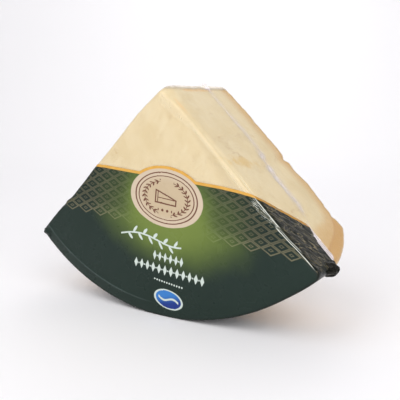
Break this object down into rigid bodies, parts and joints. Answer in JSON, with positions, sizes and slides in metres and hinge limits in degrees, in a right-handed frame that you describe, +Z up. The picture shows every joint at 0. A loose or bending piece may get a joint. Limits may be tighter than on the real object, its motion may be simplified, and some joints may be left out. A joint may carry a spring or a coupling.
{
  "type": "film-wrapped hard cheese wedge",
  "caption": "Large film-wrapped wedge of pale hard grating cheese, cut from a wheel, standing on its curved rind with the tip up and a dark printed lower half.",
  "frame": {"origin": "on the surface it stands on, under the middle of the pack's box", "axes": "+Z up towards the wedge's tip, -Y towards the printed front, +X to the right seen from the front"},
  "size_m": [0.2872, 0.1056, 0.1977],
  "materials": {
    "cheese": "pale straw hard cheese with an ochre rind, seen through clear film",
    "clear_film": "thin clear shrink film, glossy, with fine wrinkles",
    "printed_film": "thin glossy film printed dark green, with a gold border, a cream badge and a khaki pattern"
  },
  "bodies": {
    "root": {"wrapped_wedge": "cheese"}
  },
  "joints": []
}
